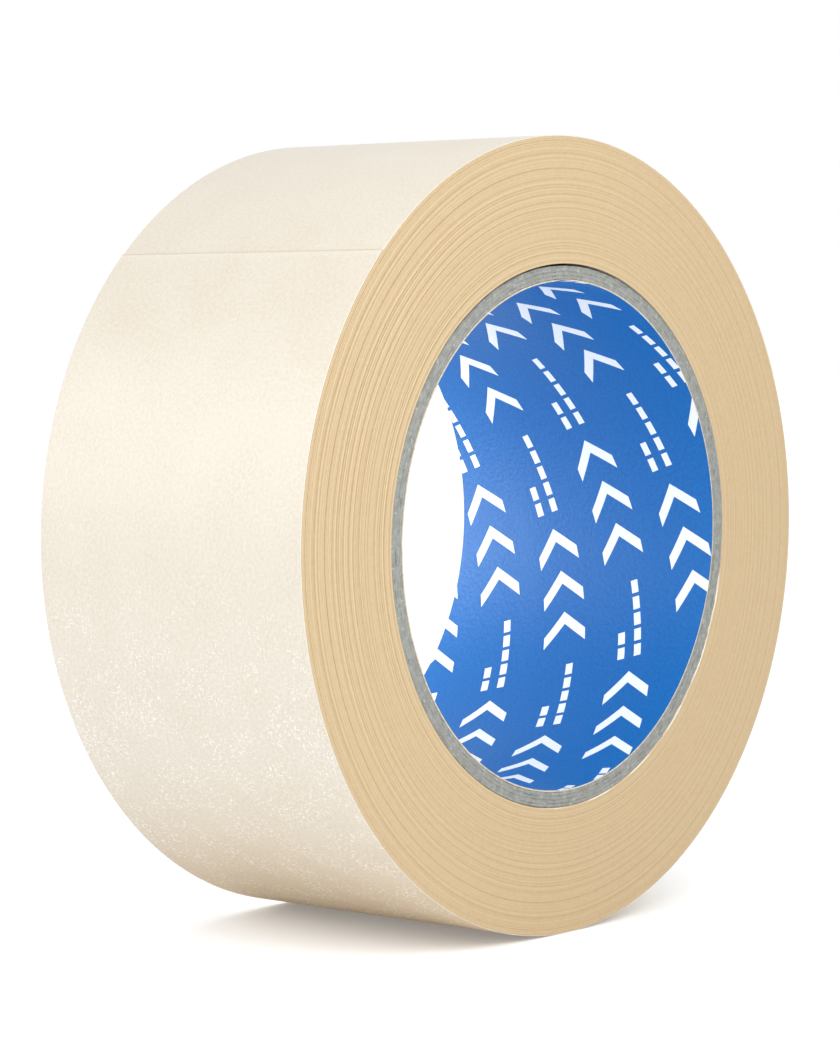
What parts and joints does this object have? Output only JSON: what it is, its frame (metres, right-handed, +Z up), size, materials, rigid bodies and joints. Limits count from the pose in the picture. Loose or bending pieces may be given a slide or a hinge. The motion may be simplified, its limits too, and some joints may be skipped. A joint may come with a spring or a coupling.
{
  "type": "masking tape roll",
  "caption": "Roll of cream crepe masking tape on a chipboard core with a blue printed liner; the free end lifts and peels.",
  "frame": {"origin": "on the axis of the core's bore, at half the tape's width", "axes": "+Y along the roll's axis, away from the side that faces the viewer; +Z up, with the roll standing on its edge; the free end lies on the -X side"},
  "size_m": [0.1196, 0.0508, 0.1195],
  "materials": {
    "liner": "gloss",
    "chipboard": "matte",
    "tape_edges": "matte",
    "tape": "matte"
  },
  "bodies": {
    "roll": {"core_liner": "liner", "core_ply_1": "chipboard", "core_ply_2": "chipboard", "core_ply_3": "chipboard", "core_ply_4": "chipboard", "tape_windings": "tape_edges", "tape_outer_turn": "tape"},
    "tape_end_1": {"tape_end_1": "tape"},
    "tape_end_2": {"tape_end_2": "tape"},
    "tape_end_3": {"tape_end_3": "tape"},
    "tape_end_4": {"tape_end_4": "tape"},
    "tape_end_5": {"tape_end_5": "tape"},
    "tape_end_6": {"tape_end_6": "tape"},
    "tape_end_7": {"tape_end_7": "tape"},
    "tape_end_8": {"tape_end_8": "tape"}
  },
  "joints": [
    {"name": "tape_peel", "type": "hinge", "parent": "roll", "child": "tape_end_1", "pos_m": [-0.05968, 0, -0.00347], "axis": [0, -1, 0], "range_deg": [0, 90]},
    {"name": "tape_bend_2", "type": "hinge", "parent": "tape_end_1", "child": "tape_end_2", "pos_m": [-0.05971, 0, 0.00278], "axis": [0, -1, 0], "range_deg": [0, 4.5]},
    {"name": "tape_bend_3", "type": "hinge", "parent": "tape_end_2", "child": "tape_end_3", "pos_m": [-0.0591, 0, 0.009], "axis": [0, -1, 0], "range_deg": [0, 4.5]},
    {"name": "tape_bend_4", "type": "hinge", "parent": "tape_end_3", "child": "tape_end_4", "pos_m": [-0.05784, 0, 0.01512], "axis": [0, -1, 0], "range_deg": [0, 4.5]},
    {"name": "tape_bend_5", "type": "hinge", "parent": "tape_end_4", "child": "tape_end_5", "pos_m": [-0.05594, 0, 0.02107], "axis": [0, -1, 0], "range_deg": [0, 4.5]},
    {"name": "tape_bend_6", "type": "hinge", "parent": "tape_end_5", "child": "tape_end_6", "pos_m": [-0.05344, 0, 0.02679], "axis": [0, -1, 0], "range_deg": [0, 4.5]},
    {"name": "tape_bend_7", "type": "hinge", "parent": "tape_end_6", "child": "tape_end_7", "pos_m": [-0.05035, 0, 0.03222], "axis": [0, -1, 0], "range_deg": [0, 4.5]},
    {"name": "tape_bend_8", "type": "hinge", "parent": "tape_end_7", "child": "tape_end_8", "pos_m": [-0.04671, 0, 0.0373], "axis": [0, -1, 0], "range_deg": [0, 4.5]}
  ],
  "couplings": [
    {"joint": "tape_bend_2", "follows": "tape_peel", "ratio": 0.05},
    {"joint": "tape_bend_3", "follows": "tape_peel", "ratio": 0.05},
    {"joint": "tape_bend_4", "follows": "tape_peel", "ratio": 0.05},
    {"joint": "tape_bend_5", "follows": "tape_peel", "ratio": 0.05},
    {"joint": "tape_bend_6", "follows": "tape_peel", "ratio": 0.05},
    {"joint": "tape_bend_7", "follows": "tape_peel", "ratio": 0.05},
    {"joint": "tape_bend_8", "follows": "tape_peel", "ratio": 0.05}
  ]
}
